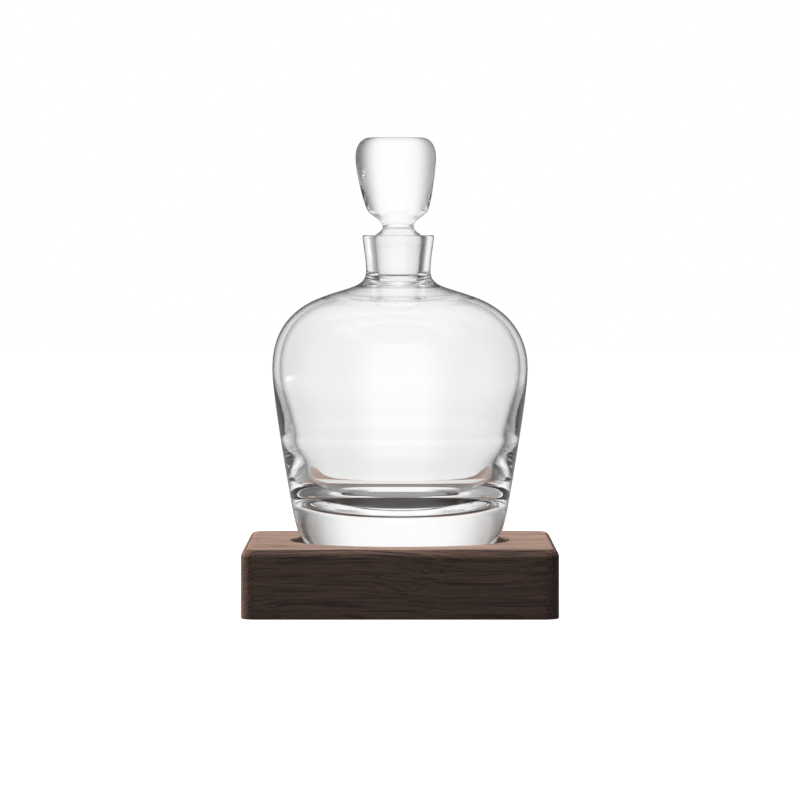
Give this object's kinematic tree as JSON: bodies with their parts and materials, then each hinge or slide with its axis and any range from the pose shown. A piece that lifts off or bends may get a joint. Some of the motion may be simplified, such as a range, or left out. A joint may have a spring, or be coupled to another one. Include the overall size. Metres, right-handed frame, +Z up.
{
  "type": "whisky decanter",
  "caption": "Thick clear glass whisky decanter with a solid glass stopper, standing in the round recess of a square walnut block.",
  "frame": {"origin": "centre of the walnut block's underside, on the table", "axes": "+Z up along the vessel's axis, +X to the right as the picture shows it, -Y towards the viewer"},
  "size_m": [0.1608, 0.1608, 0.2445],
  "materials": {
    "walnut": "oiled satin",
    "vessel_glass": "clear, fire polished",
    "stopper_glass": "clear, polished, plug ground to fit"
  },
  "bodies": {
    "base": {"walnut_base": "walnut"},
    "vessel": {"glass_vessel": "vessel_glass"},
    "stopper": {"glass_stopper": "stopper_glass"}
  },
  "joints": [
    {"name": "vessel_lift", "type": "slide", "parent": "base", "child": "vessel", "axis": [0, 0, 1], "range_m": [0, 0.08]},
    {"name": "stopper_lift", "type": "slide", "parent": "vessel", "child": "stopper", "axis": [0, 0, 1], "range_m": [0, 0.06]}
  ]
}
